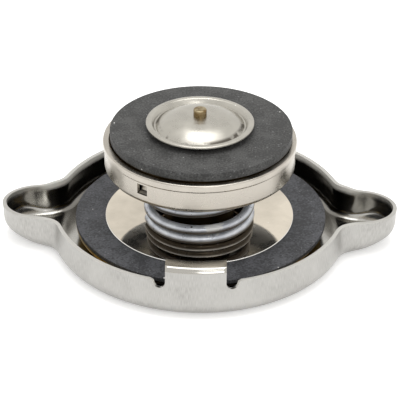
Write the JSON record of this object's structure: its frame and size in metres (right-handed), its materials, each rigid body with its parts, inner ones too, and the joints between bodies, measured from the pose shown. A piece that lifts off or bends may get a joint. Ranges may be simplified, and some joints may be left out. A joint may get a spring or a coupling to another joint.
{
  "type": "radiator cap",
  "caption": "Round pressed steel radiator pressure cap with two ears, locking tabs, a neck gasket and a sprung pressure and vacuum valve stack.",
  "frame": {"origin": "centre of the crown face that the cap lies on", "axes": "+Z along the valve stack away from the crown, X through the two ears, -Y towards the camera"},
  "size_m": [0.0826, 0.062, 0.0302],
  "materials": {
    "shell_steel": "satin",
    "bright_steel": "polished",
    "plate_steel": "satin",
    "zinc_wire": "zinc plated",
    "rubber": "matte",
    "brass": "dull"
  },
  "bodies": {
    "shell": {"shell": "shell_steel", "centre_rivet": "shell_steel"},
    "bell": {"bell_housing": "plate_steel", "diaphragm": "brass", "neck_gasket": "rubber", "retainer_disc": "bright_steel", "main_spring": "zinc_wire"},
    "pressure_valve": {"pressure_plate": "plate_steel", "seal_carrier": "plate_steel", "pressure_seal": "rubber", "vacuum_spring": "zinc_wire"},
    "vacuum_valve": {"vacuum_disc": "plate_steel", "vacuum_stem": "brass", "spring_keeper": "plate_steel"}
  },
  "joints": [
    {"name": "bell_swivel", "type": "hinge", "parent": "shell", "child": "bell", "pos_m": [0, 0, 0.0025], "axis": [0, 0, 1], "continuous": true},
    {"name": "pressure_slide", "type": "slide", "parent": "bell", "child": "pressure_valve", "axis": [0, 0, -1], "range_m": [0, 0.002], "stiffness_N_per_m": 9000, "springref_m": -0.004, "deforming": ["main_spring"]},
    {"name": "vacuum_slide", "type": "slide", "parent": "pressure_valve", "child": "vacuum_valve", "axis": [0, 0, 1], "range_m": [0, 0.0025], "stiffness_N_per_m": 150, "springref_m": -0.004, "deforming": ["vacuum_spring"]}
  ]
}
